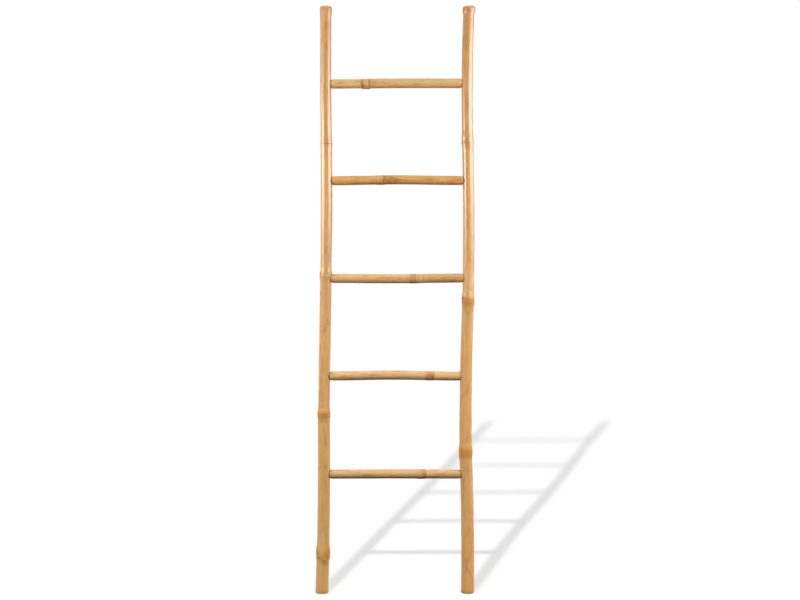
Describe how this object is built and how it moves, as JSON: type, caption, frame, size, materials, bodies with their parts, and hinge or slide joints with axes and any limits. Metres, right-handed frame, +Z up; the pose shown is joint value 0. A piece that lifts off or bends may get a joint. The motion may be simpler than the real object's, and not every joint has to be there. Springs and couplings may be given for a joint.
{
  "type": "towel ladder",
  "caption": "Leaning towel ladder of natural bamboo: tall culm poles with swollen nodes, joined by thinner culm rungs set into bored mortises, for hanging towels.",
  "frame": {"origin": "on the floor, under the middle of the upright ladder's box", "axes": "+Z up along the poles, +X from the left pole to the right pole as seen from the front, +Y to the back, towards the wall that it leans on"},
  "size_m": [0.4088, 0.0378, 1.5],
  "materials": {
    "pole_bamboo": "clear gloss lacquer on the culm's own skin",
    "rung_bamboo": "clear gloss lacquer on the culm's own skin",
    "brad_steel": "bright wire"
  },
  "bodies": {
    "root": {"left_pole": "pole_bamboo", "right_pole": "pole_bamboo", "rung_1": "rung_bamboo", "rung_2": "rung_bamboo", "rung_3": "rung_bamboo", "rung_4": "rung_bamboo", "rung_5": "rung_bamboo", "left_pole_brads": "brad_steel", "right_pole_brads": "brad_steel"}
  },
  "joints": []
}
